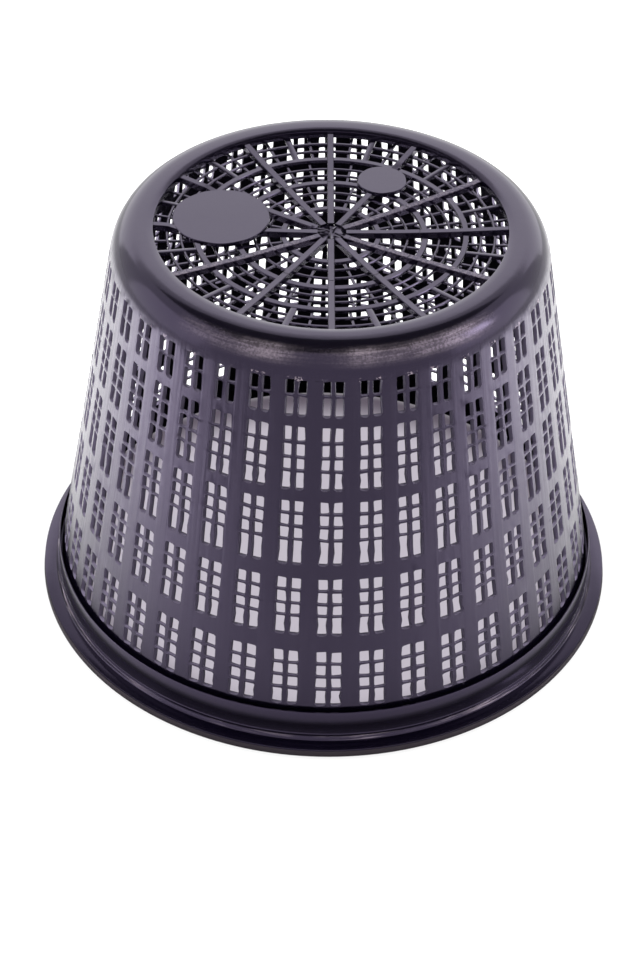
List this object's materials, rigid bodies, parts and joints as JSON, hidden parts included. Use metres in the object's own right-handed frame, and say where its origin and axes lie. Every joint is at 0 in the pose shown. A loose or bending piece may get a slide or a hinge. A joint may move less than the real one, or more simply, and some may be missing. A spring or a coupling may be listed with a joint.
{
  "type": "pond planting basket",
  "caption": "Round tapered planting basket, moulded in one piece, with rows of windows in its wall, an open grille base and a stepped rim.",
  "frame": {"origin": "centre of the mouth, on the plane of the rim's face; the basket lies mouth down", "axes": "+Z along the axis, from the mouth to the grille base"},
  "size_m": [0.22, 0.22, 0.1545],
  "materials": {
    "moulding": "satin black polypropylene"
  },
  "bodies": {
    "root": {"basket": "moulding"}
  },
  "joints": []
}
